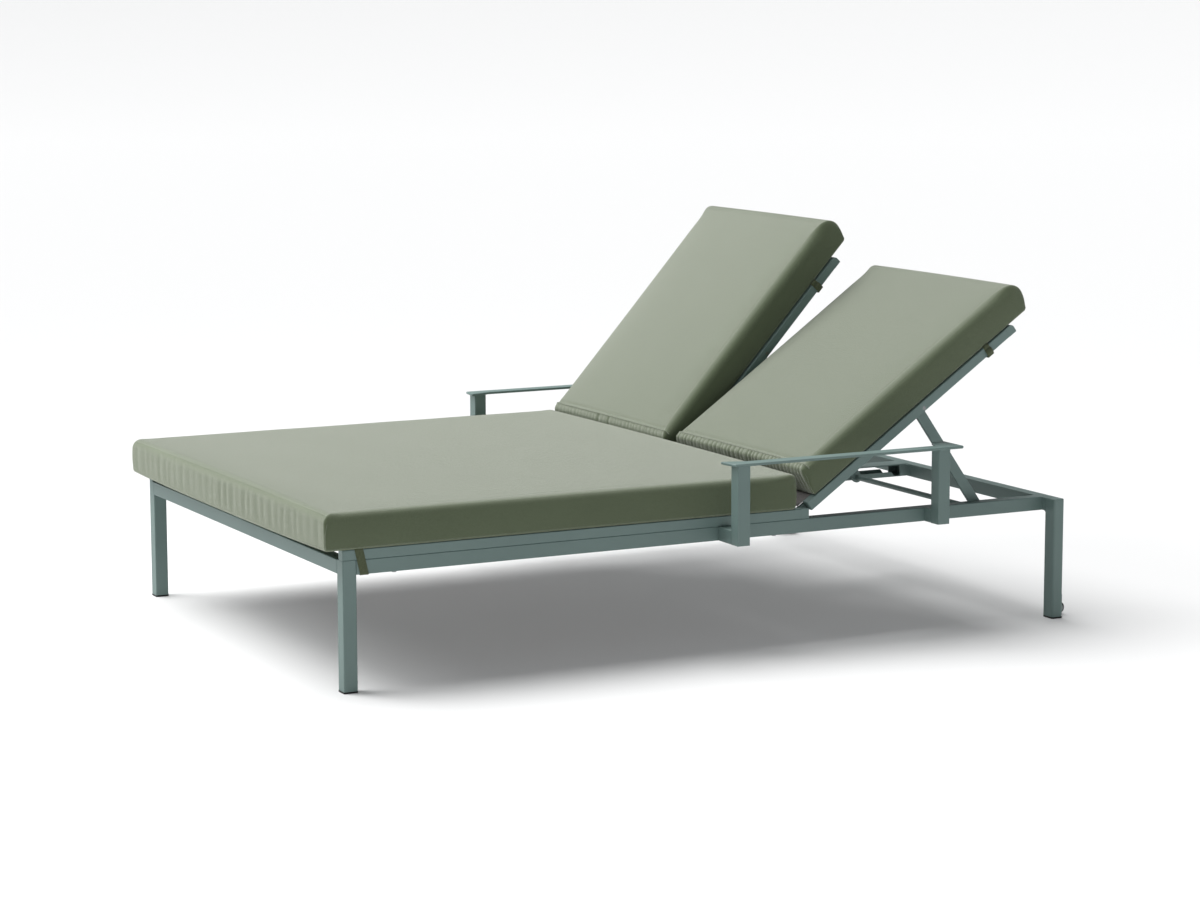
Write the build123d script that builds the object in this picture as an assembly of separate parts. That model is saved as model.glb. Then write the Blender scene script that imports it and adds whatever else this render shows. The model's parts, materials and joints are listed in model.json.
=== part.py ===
from build123d import *
import math
import os

os.makedirs("parts", exist_ok=True)

# Double chaise lounger. Millimetres, +Z up, +X from the foot end to the head end.
# The origin is on the floor under the middle of the base frame. Left is the side at -Y.

# Base frame
base_length = 2000.0
base_width = 1350.0
rail_top = 315.0
frame_size = 35.0
frame_wall = 2.5
tube_round = 2.5
centre_width = 60.0
centre_flare = 18.0
portal_overhang = 55.0
portal_depth = 32.0
head_leg_width = 41.0
head_leg_round = 6.0
portal_web = 10.0
glide_height = 4.0
glide_lip = 1.0
glide_plug = 25.0

# Clearances and shared small sizes
running_clearance = 0.05
soft_clearance = 0.3
overrun = 5.0

# Rollers behind the head legs
roller_radius = 16.0
roller_width = 17.0
roller_round = 2.0
roller_floor_gap = 2.0
roller_reach = 20.0
roller_side_gap = 0.4
bracket_thickness = 3.0
bracket_top = 62.0
bracket_tab_radius = 11.0
axle_radius = 4.0
axle_head_radius = 6.5
axle_head_height = 2.5

# Arms. Their X places are measured from the back hinges.
arm_post_foot_x = -250.5
arm_post_head_x = 353.0
arm_foot_reach = 97.0
arm_head_reach = 64.0
arm_top = 484.0
arm_thickness = 7.0
arm_edge_round = 2.6
arm_front_x = -260.0
arm_tip_x = -268.0
arm_end_x = 405.0
arm_outer_reach = 101.0
arm_inner_reach = 62.0
arm_tip_reach = 42.0
arm_flare_x = 344.0
arm_flare_run = 20.0
arm_flare_reach = 12.0
arm_heel_reach = 3.0
arm_corner_round = 7.0

# Seat frame, which lies on the base rails
seat_size = 25.0
seat_wall = 2.0
seat_foot_tube_x = 75.0
seat_head_tube_gap = 7.0
sling_thickness = 1.2
sling_drop = 0.6
sling_foot_gap = 2.0
bolt_radius = 3.0
bolt_head_radius = 5.5
bolt_head_height = 3.0
bolt_foot_x = 135.0
bolt_hinge_gap = 85.0
bolt_grip = 6.0

# Back hinges
hinge_from_head = 750.0
hinge_rise = 15.0
block_front = 13.0
block_rear = 10.0
block_round = 2.0
eye_thickness = 8.0
eye_radius = 12.5
eye_gap = 0.4
eye_arm = 58.0
eye_share = 0.75
pivot_radius = 4.0
pivot_head_radius = 7.0
pivot_head_height = 4.0

# Back frames
back_gap = 10.0
back_size = 25.0
back_wall = 2.0
back_offset = 5.0
back_tube_start = 20.0
back_length = 757.5
back_nose_round = 12.0
back_bottom_tube_u = 62.0
left_back_angle = 34.56
right_back_angle = 47.6
lowest_set_angle = 20.5

# Props behind the backs. The stand angle is a leg's rise from level under the highest set back.
prop_leg_length = 346.0
prop_stand_angle = 82.18
prop_pivot_offset = 1.0
prop_leg_width = 28.0
prop_leg_thickness = 10.0
prop_rail_gap = 2.0
prop_pin_radius = 5.0
prop_pin_head_radius = 8.0
prop_pin_head_height = 3.0
rod_radius = 7.0
rod_end_gap = 1.0

# Rack slots in the rails
rack_lip = 3.5
rack_ledge = 21.0
rack_floor = 33.0
rack_play = 1.5
rack_slant = 10.0
rack_front = 15.0

# Cushions
seat_cushion_foot_overhang = 36.0
seat_cushion_hinge_gap = 30.0
seat_cushion_side_overhang = 5.0
seat_cushion_thickness = 90.0
seat_cushion_crown = 8.0
back_cushion_start = 50.0
back_cushion_overhang = 57.5
back_cushion_side = 1.0
back_cushion_inner = 4.0
back_cushion_thickness = 81.0
back_cushion_crown = 6.0
back_cushion_top_round = 28.0
cushion_draw_in = 3.0
cushion_bulge = 2.5
cushion_edge_round = 15.0

# Straps that hold the cushions
strap_thickness = 1.5
seat_strap_width = 22.0
seat_strap_top_x = 22.0
seat_strap_bottom_gap = 1.0
back_strap_width = 18.0
back_strap_top_gap = 97.5

# Places worked out from the sizes above
foot_x = -base_length / 2
head_x = base_length / 2
outer_y = -base_width / 2
rail_bottom = rail_top - frame_size
seat_top = rail_top + seat_size
portal_x = head_x - portal_depth
back_width = (base_width - back_gap) / 2
hinge_place_x = head_x - hinge_from_head
hinge_z = rail_top + hinge_rise
block_foot_x = hinge_place_x - block_front
portal_y = outer_y - portal_overhang
portal_inner_y = portal_y + head_leg_width
bolt_places = (foot_x + bolt_foot_x, hinge_place_x - bolt_hinge_gap)


def block(x, y, z):
    """A box from its low and high place along each axis."""
    size = Box(x[1] - x[0], y[1] - y[0], z[1] - z[0])
    return Pos((x[0] + x[1]) / 2, (y[0] + y[1]) / 2, (z[0] + z[1]) / 2) * size


def tube(x, y, z, along, wall):
    """A rectangular tube, open at both ends, with rounded edges along its length."""
    outer = fillet(block(x, y, z).edges().filter_by(along), tube_round)
    ranges = []
    for axis, reach in ((Axis.X, x), (Axis.Y, y), (Axis.Z, z)):
        inset = 0 if axis == along else wall
        ranges.append((reach[0] + inset, reach[1] - inset))
    return outer - block(*ranges)


def rod(start, radius, length, direction=(0, 1, 0)):
    """A round bar from a point, along a direction."""
    return extrude(Plane(origin=start, z_dir=direction) * Circle(radius), amount=length)


def plate_xz(points, y_start, thickness):
    """A flat plate standing in the XZ plane, from an outline of (x, z) points."""
    outline = make_face(Polyline([(px, y_start, pz) for px, pz in points], close=True))
    return extrude(outline, amount=thickness, dir=(0, 1, 0))


def plate_xy(points, z_start, thickness):
    """A flat plate lying in the XY plane, from an outline of (x, y) points."""
    outline = make_face(Polyline([(px, py, z_start) for px, py in points], close=True))
    return extrude(outline, amount=thickness, dir=(0, 0, 1))


def mirrored(piece):
    """The same piece on the right-hand side."""
    return mirror(piece, about=Plane.XZ)


def flipped(piece):
    """A piece of the back's outer edge, turned over to its inner edge, in the back's own frame."""
    return mirror(piece, about=Plane(origin=(0, back_width / 2, 0), z_dir=(0, 1, 0)))


def save(node, *solids):
    """Writes one node, as a group where it has several solids."""
    parts = []
    for solid in solids:
        parts.extend(solid.solids())
    shape = parts[0] if len(parts) == 1 else Compound(children=parts)
    export_step(shape, f"parts/{node}.step")


def save_pair(name, piece):
    save(f"{name}_left", piece)
    save(f"{name}_right", mirrored(piece))


# Geometry of the backs and props

def back_point(angle, u, n):
    """World (x, z) of a point u along a back's tube and n in front of its pivot line."""
    turn = math.radians(angle)
    x = hinge_place_x + u * math.cos(turn) - n * math.sin(turn)
    z = hinge_z + u * math.sin(turn) + n * math.cos(turn)
    return x, z


def foot_place(angle, rod_z):
    """World x of a prop's foot rod, and the leg's angle below level, when the rod is at rod_z."""
    pivot_x, pivot_z = back_point(angle, prop_pivot_u, prop_pivot_offset)
    drop = math.asin((pivot_z - rod_z) / prop_leg_length)
    return pivot_x + prop_leg_length * math.cos(drop), math.degrees(drop)


notch_rod_z = rail_top - rack_floor + rod_radius
ledge_rod_z = rail_top - rack_ledge + rod_radius
highest_turn = math.radians(right_back_angle)
prop_stand_rise = ledge_rod_z + prop_leg_length * math.sin(math.radians(prop_stand_angle)) - hinge_z
prop_pivot_u = (prop_stand_rise - prop_pivot_offset * math.cos(highest_turn)) / math.sin(highest_turn)
left_foot_x, left_leg_drop = foot_place(left_back_angle, notch_rod_z)
right_foot_x, right_leg_drop = foot_place(right_back_angle, ledge_rod_z)
low_foot_x = foot_place(lowest_set_angle, notch_rod_z)[0]


# Base frame

def foot_leg():
    return tube((foot_x, foot_x + frame_size), (outer_y, outer_y + frame_size),
                (glide_height, rail_top), Axis.Z, frame_wall)


def foot_glide():
    lip = block((foot_x - glide_lip / 2, foot_x + frame_size + glide_lip / 2),
                (outer_y - glide_lip / 2, outer_y + frame_size + glide_lip / 2), (0, glide_height))
    lip = fillet(lip.edges().filter_by(Axis.Z), tube_round)
    inset = frame_wall + running_clearance
    plug = block((foot_x + inset, foot_x + frame_size - inset),
                 (outer_y + inset, outer_y + frame_size - inset), (glide_height, glide_height + glide_plug))
    return lip + plug


def rack_outline():
    """The slot that a prop's foot rod rests in: a level ledge with a notch for each lower setting."""
    top = rail_top - rack_lip
    ledge = rail_top - rack_ledge
    floor = rail_top - rack_floor
    reach = rod_radius + rack_play
    points = [(right_foot_x - rack_front, top), (right_foot_x - rack_front, ledge)]
    for notch_x in (left_foot_x, low_foot_x):
        points.append((notch_x - reach - rack_slant, ledge))
        points.append((notch_x - reach, floor))
        points.append((notch_x + reach, floor))
        points.append((notch_x + reach, ledge))
    points[-1] = (low_foot_x + reach, top)
    return points


def side_rail():
    inner_y = outer_y + frame_size
    rail = tube((foot_x + frame_size, portal_x), (outer_y, inner_y), (rail_bottom, rail_top),
                Axis.X, frame_wall)
    return rail - plate_xz(rack_outline(), inner_y - frame_wall - overrun, frame_wall + 2 * overrun)


def centre_rail():
    half = centre_width / 2
    rail = tube((foot_x + frame_size, portal_x), (-half, half), (rail_bottom, rail_top), Axis.X, frame_wall)
    return rail - plate_xz(rack_outline(), -half - overrun, centre_width + 2 * overrun)


def centre_gusset():
    """A filler with a hollow curve in the corner between the centre rail and the head crossbar."""
    start = -centre_width / 2 - centre_flare
    z = (rail_bottom + tube_round, rail_top - tube_round)
    filler = block((portal_x - centre_flare, portal_x), (start, -centre_width / 2), z)
    return filler - rod((portal_x - centre_flare, start, rail_bottom), centre_flare, frame_size, (0, 0, 1))


def foot_crossbar():
    return tube((foot_x, foot_x + frame_size), (outer_y + frame_size, -outer_y - frame_size),
                (rail_bottom, rail_top), Axis.Y, frame_wall)


def head_crossbar():
    return tube((portal_x, head_x), (portal_inner_y, -portal_inner_y), (rail_bottom, rail_top),
                Axis.Y, frame_wall)


def head_leg():
    """A blind tube with a closed top, and a small rounded web under the crossbar."""
    body = block((portal_x, head_x), (portal_y, portal_inner_y), (glide_height, rail_top))
    body = fillet(body.edges().filter_by(Axis.Z).group_by(Axis.Y)[0], head_leg_round)
    body = fillet(body.edges().filter_by(Axis.Z).group_by(Axis.Y)[-1], tube_round)
    body = fillet(body.faces().sort_by(Axis.Z)[-1].edges().sort_by(Axis.Y)[0], tube_round)
    hollow = block((portal_x + frame_wall, head_x - frame_wall),
                   (portal_y + frame_wall, portal_inner_y - frame_wall),
                   (0, rail_top - frame_wall))
    web = block((portal_x + tube_round, head_x - tube_round),
                (portal_inner_y, portal_inner_y + portal_web), (rail_bottom - portal_web, rail_bottom))
    web -= rod((portal_x - overrun, portal_inner_y + portal_web, rail_bottom - portal_web), portal_web,
               portal_depth + 2 * overrun, (1, 0, 0))
    return body - hollow + web


def head_glide():
    lip = block((portal_x - glide_lip, head_x + glide_lip),
                (portal_y - glide_lip, portal_inner_y + glide_lip), (0, glide_height))
    lip = fillet(lip.edges().filter_by(Axis.Z), head_leg_round)
    inset = frame_wall + running_clearance
    plug = block((portal_x + inset, head_x - inset), (portal_y + inset, portal_inner_y - inset),
                 (glide_height, glide_height + glide_plug))
    plug = fillet(plug.edges().filter_by(Axis.Z).group_by(Axis.Y)[0], head_leg_round - inset)
    return lip + plug


# Rollers

roller_x = head_x + roller_reach
roller_z = roller_radius + roller_floor_gap
bracket_outer_y = portal_inner_y - bracket_thickness
roller_outer_y = portal_inner_y + roller_side_gap


def roller_bracket():
    """A flange on the leg's rear face with a cheek plate that ends in a round tab about the axle."""
    low_z = roller_z - bracket_tab_radius
    flange = block((head_x, head_x + bracket_thickness), (portal_y + head_leg_round, portal_inner_y),
                   (low_z, bracket_top))
    cheek = plate_xz([(head_x, low_z), (roller_x, low_z), (roller_x, roller_z + bracket_tab_radius),
                      (head_x, bracket_top)], bracket_outer_y, bracket_thickness)
    tab = rod((roller_x, bracket_outer_y, roller_z), bracket_tab_radius, bracket_thickness)
    bore = rod((roller_x, bracket_outer_y - overrun, roller_z), axle_radius + running_clearance,
               bracket_thickness + 2 * overrun)
    return flange + cheek + tab - bore


def roller():
    wheel = rod((roller_x, roller_outer_y, roller_z), roller_radius, roller_width)
    wheel = fillet(wheel.edges(), roller_round)
    bore = rod((roller_x, roller_outer_y - overrun, roller_z), axle_radius + running_clearance,
               roller_width + 2 * overrun)
    return wheel - bore


def roller_axle():
    head = rod((roller_x, bracket_outer_y - axle_head_height, roller_z), axle_head_radius, axle_head_height)
    shank_end = roller_outer_y + roller_width + roller_side_gap
    shank = rod((roller_x, bracket_outer_y, roller_z), axle_radius, shank_end - bracket_outer_y)
    tail = rod((roller_x, shank_end, roller_z), axle_head_radius, axle_head_height)
    return head + shank + tail


# Arms

def arm_post(post_x, reach):
    """A square post with a closed bottom, open under the arm plate."""
    x = (hinge_place_x + post_x, hinge_place_x + post_x + frame_size)
    y = (outer_y - reach, outer_y - reach + frame_size)
    top = arm_top - arm_thickness
    body = fillet(block(x, y, (rail_bottom, top)).edges().filter_by(Axis.Z), tube_round)
    hollow = block((x[0] + frame_wall, x[1] - frame_wall), (y[0] + frame_wall, y[1] - frame_wall),
                   (rail_bottom + frame_wall, top + overrun))
    return body - hollow


def arm_stub(post_x, reach):
    x = (hinge_place_x + post_x, hinge_place_x + post_x + frame_size)
    return tube(x, (outer_y - reach + frame_size, outer_y), (rail_bottom, rail_top), Axis.Y, frame_wall)


def arm_plate():
    """A slender level plate that widens over the head post, with a pointed inner tip in front."""
    def place(x, reach):
        return hinge_place_x + x, outer_y - reach
    points = [place(arm_front_x, arm_outer_reach), place(arm_end_x, arm_outer_reach),
              place(arm_end_x, arm_heel_reach), place(arm_flare_x + arm_flare_run, arm_flare_reach),
              place(arm_flare_x, arm_inner_reach),
              place(arm_front_x + frame_size + arm_flare_run, arm_inner_reach),
              place(arm_tip_x, arm_tip_reach)]
    plate = plate_xy(points, arm_top - arm_thickness, arm_thickness)
    upright = plate.edges().filter_by(Axis.Z)
    plate = fillet(upright.sort_by(Axis.X)[-2:], arm_corner_round)
    flat = plate.faces().filter_by(Axis.Z).sort_by(Axis.Z)
    return fillet(flat[0].edges() + flat[-1].edges(), arm_edge_round)


# Seat frame

def seat_rail():
    return tube((foot_x + seat_wall, block_foot_x), (outer_y, outer_y + seat_size), (rail_top, seat_top),
                Axis.X, seat_wall)


def seat_centre_rail():
    half = centre_width / 2
    return tube((foot_x + seat_wall, block_foot_x), (-half, half), (rail_top, seat_top), Axis.X, seat_wall)


def seat_rail_cap(y):
    cap = block((foot_x, foot_x + seat_wall), y, (rail_top, seat_top))
    return fillet(cap.edges().filter_by(Axis.X), tube_round)


def seat_cross_tube(x_start):
    return tube((x_start, x_start + seat_size), (outer_y + seat_size, -centre_width / 2),
                (rail_top + sling_drop + sling_thickness, seat_top - sling_drop - sling_thickness),
                Axis.Y, seat_wall)


def seat_sling():
    top = seat_top - sling_drop
    return block((foot_x + seat_foot_tube_x - sling_foot_gap, block_foot_x + block_front - eye_radius),
                 (outer_y + seat_size, -centre_width / 2), (top - sling_thickness, top))


def seat_bolt(x, y):
    """A screw from below, through the base rail and into the seat rail."""
    head = rod((x, y, rail_bottom - bolt_head_height), bolt_head_radius, bolt_head_height, (0, 0, 1))
    shank = rod((x, y, rail_bottom), bolt_radius, frame_size + bolt_grip, (0, 0, 1))
    return head + shank


def bolt_holes(piece, y):
    """Clearance holes for the seat bolts through a rail."""
    for bolt_x in bolt_places:
        piece -= rod((bolt_x, y, rail_bottom - overrun), bolt_radius + running_clearance,
                     frame_size + bolt_grip + 2 * overrun, (0, 0, 1))
    return piece


# Hinge blocks, bolts and eyes. Y runs from the back's outer edge inwards.

def hinge_block():
    """A block on the rail that carries a pivot bolt in a blind bore."""
    x = (block_foot_x, hinge_place_x + block_rear)
    body = block(x, (0, seat_size), (rail_top, seat_top))
    body = fillet(body.edges().filter_by(Axis.Y).group_by(Axis.X)[-1].sort_by(Axis.Z)[-1], block_round)
    return body - rod((hinge_place_x, back_wall, hinge_z), pivot_radius + running_clearance, seat_size)


def hinge_bolt():
    reach = seat_size - back_wall + eye_gap + eye_thickness + eye_gap
    shank = rod((hinge_place_x, back_wall, hinge_z), pivot_radius, reach)
    head = rod((hinge_place_x, back_wall + reach, hinge_z), pivot_head_radius, pivot_head_height)
    return shank + head


def hinge_eye():
    """A plate beside a back tube with a round eye about the pivot, in the back's own frame."""
    y_start = back_size + eye_gap
    arm_top_n = tube_low + 2 * eye_radius * eye_share
    arm = block((0, eye_arm), (y_start, y_start + eye_thickness), (tube_low, arm_top_n))
    boss = rod((0, y_start, 0), eye_radius, eye_thickness)
    bore = rod((0, y_start, 0), pivot_radius + running_clearance, eye_thickness)
    return arm + boss - bore


# Back frame, in its own frame: X along the tube from the pivot, Y from the outer edge inwards

tube_low = back_offset - back_size / 2
tube_high = back_offset + back_size / 2
top_tube_u = back_length - back_size


def back_side_tube():
    body = tube((back_tube_start, top_tube_u), (0, back_size), (tube_low, tube_high), Axis.X, back_wall)
    return body - rod((prop_pivot_u, 0, prop_pivot_offset), prop_pin_radius + running_clearance, back_size)


def back_nose(y_start, y_end):
    """The rounded profile of the top tube."""
    body = block((top_tube_u, back_length), (y_start, y_end), (tube_low, tube_high))
    crest = body.edges().filter_by(Axis.Y).sort_by(Axis.X)[-2:]
    body = fillet(crest.sort_by(Axis.Z)[-1], back_nose_round)
    crest = body.edges().filter_by(Axis.Y).group_by(Axis.Z)[0].sort_by(Axis.X)[-1]
    return fillet(crest, tube_round)


def back_top_tube():
    body = back_nose(back_wall, back_width - back_wall)
    hollow_high = tube_high - back_nose_round / 2
    return body - block((top_tube_u + back_wall, back_length - back_nose_round / 2), (0, back_width),
                        (tube_low + back_wall, hollow_high))


def back_end_caps():
    caps = []
    for y in ((0, back_wall), (back_width - back_wall, back_width)):
        caps.append(back_nose(*y))
    for y_start in (0, back_width - back_size):
        cap = block((back_tube_start - back_wall, back_tube_start), (y_start, y_start + back_size),
                    (tube_low, tube_high))
        caps.append(fillet(cap.edges().filter_by(Axis.X), tube_round))
    return caps


def back_bottom_tube():
    return tube((back_bottom_tube_u, back_bottom_tube_u + back_size), (back_size, back_width - back_size),
                (tube_low, tube_high - sling_drop - sling_thickness), Axis.Y, back_wall)


def back_sling():
    top = tube_high - sling_drop
    return block((back_tube_start, top_tube_u), (back_size, back_width - back_size),
                 (top - sling_thickness, top))


# Prop, in its own frame: X along the leg from the pivot, Y from the back's outer edge inwards

outer_leg_y = frame_size + prop_rail_gap
inner_leg_y = (centre_width - back_gap) / 2 + prop_rail_gap
rod_y = frame_size + rod_end_gap
rod_end_y = back_width - (centre_width - back_gap) / 2 - rod_end_gap


def prop_leg(y_start):
    half = prop_leg_width / 2
    leg = block((0, prop_leg_length), (y_start, y_start + prop_leg_thickness), (-half, half))
    for end in (0, prop_leg_length):
        leg += rod((end, y_start, 0), half, prop_leg_thickness)
    leg = fillet(leg.faces().filter_by(Axis.Y).edges(), tube_round / 2)
    leg -= rod((0, y_start, 0), prop_pin_radius + running_clearance, prop_leg_thickness)
    return leg - rod((prop_leg_length, y_start, 0), rod_radius + running_clearance, prop_leg_thickness)


def prop_foot_rod():
    return rod((prop_leg_length, rod_y, 0), rod_radius, rod_end_y - rod_y)


def prop_pin(leg_y):
    """A pin through a back tube, with a collar that holds the leg off the tube, and a head inside."""
    shank = rod((0, 0, 0), prop_pin_radius, leg_y + prop_leg_thickness + eye_gap)
    collar = rod((0, back_size, 0), prop_pin_head_radius, leg_y - back_size - eye_gap)
    head = rod((0, leg_y + prop_leg_thickness + eye_gap, 0), prop_pin_head_radius, prop_pin_head_height)
    return shank + collar + head


# Cushions

def cushion(length, width, thickness, crown, top_round):
    """A boxed cushion: crowned top, sides that bulge a little and draw in between the corners."""
    sections = []
    for share, inset, rise in ((0, 0, crown / 3), (0.5, cushion_draw_in, crown), (1, 0, crown / 3)):
        low, high, x = inset, width - inset, share * length
        foot = Line((x, low, 0), (x, high, 0))
        far = ThreePointArc((x, high, 0), (x, high + cushion_bulge, thickness / 2), (x, high, thickness))
        top = ThreePointArc((x, high, thickness), (x, width / 2, thickness + rise), (x, low, thickness))
        near = ThreePointArc((x, low, thickness), (x, low - cushion_bulge, thickness / 2), (x, low, 0))
        sections.append(make_face([foot, far, top, near]))
    body = loft(sections)
    if top_round == 0:
        return fillet(body.edges(), cushion_edge_round)
    crest = body.edges().filter_by(lambda edge: (edge @ 0.5).X > length / 2 and (edge @ 0.5).Z > thickness)
    body = fillet(crest.sort_by(Axis.X)[-1], top_round)

    def is_blend_line(edge):
        middle = edge @ 0.5
        on_top = abs(middle.X - (length - top_round)) < crown
        on_end = abs(middle.Z - (thickness - top_round)) < crown
        return edge.length > width / 2 and middle.X > length / 2 + top_round and (on_top or on_end)

    sharp = body.edges().filter_by(lambda edge: not is_blend_line(edge))
    return fillet(sharp, cushion_edge_round)


# Straps

def seat_strap():
    """A strap from the cushion, round both rails at the foot end. Its outside slants as it goes down."""
    gap = soft_clearance
    low = rail_bottom - gap - strap_thickness
    top_x = foot_x + seat_strap_top_x
    bottom_x = foot_x + frame_size + seat_strap_bottom_gap
    slant = [(top_x, seat_top), (top_x + seat_strap_width, seat_top), (bottom_x + seat_strap_width, low),
             (bottom_x, low)]
    x = (bottom_x, bottom_x + seat_strap_width)
    y = (outer_y - gap, outer_y + frame_size + gap)
    outside = plate_xz(slant, y[0] - strap_thickness, strap_thickness)
    inside = block(x, (y[1], y[1] + strap_thickness), (low, seat_top))
    under = block(x, (y[0] - strap_thickness, y[1] + strap_thickness), (low, low + strap_thickness))
    return outside + inside + under


def back_strap():
    """A strap from the cushion, round a back tube, in the back's own frame."""
    gap = soft_clearance
    middle_u = back_length - back_strap_top_gap
    u = (middle_u - back_strap_width / 2, middle_u + back_strap_width / 2)
    low = tube_low - gap - strap_thickness
    sling_low = tube_high - sling_drop - sling_thickness
    outside = block(u, (-gap - strap_thickness, -gap), (low, tube_high))
    inside = block(u, (back_size + gap, back_size + gap + strap_thickness), (low, sling_low - gap))
    under = block(u, (-gap - strap_thickness, back_size + gap + strap_thickness),
                  (low, low + strap_thickness))
    return outside + inside + under


# Placing and writing

def set_back(piece, side):
    """Tilts a piece of a back to its rest angle, on the left or the right."""
    angle = left_back_angle if side == "left" else right_back_angle
    placed = Pos(hinge_place_x, outer_y, hinge_z) * Rot(0, -angle, 0) * piece
    return placed if side == "left" else mirrored(placed)


def set_prop(piece, side):
    """Swings a piece of a prop to its rest angle."""
    angle = left_back_angle if side == "left" else right_back_angle
    drop = left_leg_drop if side == "left" else right_leg_drop
    pivot_x, pivot_z = back_point(angle, prop_pivot_u, prop_pivot_offset)
    placed = Pos(pivot_x, outer_y, pivot_z) * Rot(0, drop, 0) * piece
    return placed if side == "left" else mirrored(placed)


def pair(piece):
    """A piece and its mirror image, for a node that groups both."""
    return [piece, mirrored(piece)]


save_pair("foot_leg", foot_leg())
save("foot_glides", *pair(foot_glide()))
save_pair("side_rail", bolt_holes(side_rail(), outer_y + seat_size / 2))
save("foot_crossbar", foot_crossbar())
save("centre_rail", bolt_holes(centre_rail(), 0))
save("centre_gussets", *pair(centre_gusset()))
save("head_crossbar", head_crossbar())
save_pair("head_leg", head_leg())
save("head_glides", *pair(head_glide()))

save("roller_brackets", *pair(roller_bracket()))
save("roller_axles", *pair(roller_axle()))
save_pair("roller", roller())

arm_posts = (("foot", arm_post_foot_x, arm_foot_reach), ("head", arm_post_head_x, arm_head_reach))
stubs = []
for end, post_x, reach in arm_posts:
    save_pair(f"arm_{end}_post", arm_post(post_x, reach))
    stubs.extend(pair(arm_stub(post_x, reach)))
save("arm_stubs", *stubs)
save_pair("arm_plate", arm_plate())

save_pair("seat_rail", bolt_holes(seat_rail(), outer_y + seat_size / 2))
save("seat_centre_rail", bolt_holes(seat_centre_rail(), 0))
outer_caps = pair(seat_rail_cap((outer_y, outer_y + seat_size)))
save("seat_rail_caps", seat_rail_cap((-centre_width / 2, centre_width / 2)), *outer_caps)
save("seat_foot_tubes", *pair(seat_cross_tube(foot_x + seat_foot_tube_x)))
save("seat_head_tubes", *pair(seat_cross_tube(block_foot_x - seat_head_tube_gap - seat_size)))
save_pair("seat_sling", seat_sling())
bolts = []
for bolt_x in bolt_places:
    bolts.append(seat_bolt(bolt_x, 0))
    bolts.extend(pair(seat_bolt(bolt_x, outer_y + seat_size / 2)))
save("seat_bolts", *bolts)

seat_width = base_width + 2 * seat_cushion_side_overhang
seat_length = hinge_place_x - seat_cushion_hinge_gap - foot_x + seat_cushion_foot_overhang
seat_cushion = cushion(seat_length, seat_width, seat_cushion_thickness, seat_cushion_crown, 0)
seat_place = Pos(foot_x - seat_cushion_foot_overhang, -seat_width / 2, seat_top + soft_clearance)
save("seat_cushion", seat_place * seat_cushion)
save("seat_straps", *pair(seat_strap()))

blocks = []
hinge_bolts = []
for piece, group in ((hinge_block(), blocks), (hinge_bolt(), hinge_bolts)):
    for placed in (piece, flipped(piece)):
        group.extend(pair(Pos(0, outer_y, 0) * placed))
save("hinge_blocks", *blocks)
save("hinge_bolts", *hinge_bolts)

back_cushion_length = back_length + back_cushion_overhang - back_cushion_start
back_cushion_width = back_width - back_cushion_side - back_cushion_inner
back_cushion = cushion(back_cushion_length, back_cushion_width, back_cushion_thickness, back_cushion_crown,
                       back_cushion_top_round)
back_cushion = Pos(back_cushion_start, back_cushion_side, tube_high + soft_clearance) * back_cushion
both_legs = (prop_leg(outer_leg_y), flipped(prop_leg(inner_leg_y)))
both_pins = (prop_pin(outer_leg_y), flipped(prop_pin(inner_leg_y)))
for side in ("left", "right"):
    save(f"{side}_back_outer_tube", set_back(back_side_tube(), side))
    save(f"{side}_back_inner_tube", set_back(flipped(back_side_tube()), side))
    save(f"{side}_back_top_tube", set_back(back_top_tube(), side))
    save(f"{side}_back_bottom_tube", set_back(back_bottom_tube(), side))
    save(f"{side}_back_end_caps", *[set_back(cap, side) for cap in back_end_caps()])
    save(f"{side}_back_sling", set_back(back_sling(), side))
    save(f"{side}_back_cushion", set_back(back_cushion, side))
    for name, piece in (("hinge_eyes", hinge_eye()), ("straps", back_strap())):
        save(f"{side}_back_{name}", set_back(piece, side), set_back(flipped(piece), side))
    save(f"{side}_prop_legs", *[set_prop(leg, side) for leg in both_legs])
    save(f"{side}_prop_foot_rod", set_prop(prop_foot_rod(), side))
    save(f"{side}_prop_pins", *[set_prop(pin, side) for pin in both_pins])
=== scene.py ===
import json
import math
import random

import bmesh
import bpy
import numpy as np
from mathutils import Matrix, Vector


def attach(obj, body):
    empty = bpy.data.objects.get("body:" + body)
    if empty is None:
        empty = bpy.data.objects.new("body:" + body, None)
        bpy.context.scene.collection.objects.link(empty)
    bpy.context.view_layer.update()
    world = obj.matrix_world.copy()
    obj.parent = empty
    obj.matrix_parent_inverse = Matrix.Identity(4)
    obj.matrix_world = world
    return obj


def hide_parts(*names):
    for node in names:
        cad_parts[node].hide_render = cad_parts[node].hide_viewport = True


# Double chaise lounger. Metres, +Z up, +X from the foot end to the head end, in the frame of the CAD part.
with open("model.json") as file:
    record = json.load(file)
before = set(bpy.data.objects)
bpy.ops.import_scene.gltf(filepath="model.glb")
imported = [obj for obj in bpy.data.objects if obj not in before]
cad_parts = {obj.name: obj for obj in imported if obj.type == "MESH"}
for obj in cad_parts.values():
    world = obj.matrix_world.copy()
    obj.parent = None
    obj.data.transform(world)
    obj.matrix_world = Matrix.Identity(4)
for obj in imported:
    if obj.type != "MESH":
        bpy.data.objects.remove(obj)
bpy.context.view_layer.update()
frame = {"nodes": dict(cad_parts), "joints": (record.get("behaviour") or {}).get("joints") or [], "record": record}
nodes = frame["nodes"]
joints = {joint["name"]: joint for joint in frame["joints"]}
SIDES = ("left", "right")

# Camera: a long lens low at the foot end's left-hand corner
CAMERA_PLACE = (-3.7028, -7.2090, 1.6311)
CAMERA_TURN, CAMERA_DIP, CAMERA_ROLL = 27.316, 8.523, -0.102
CAMERA_LENS, CAMERA_SENSOR = 92.78, 36.0

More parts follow.
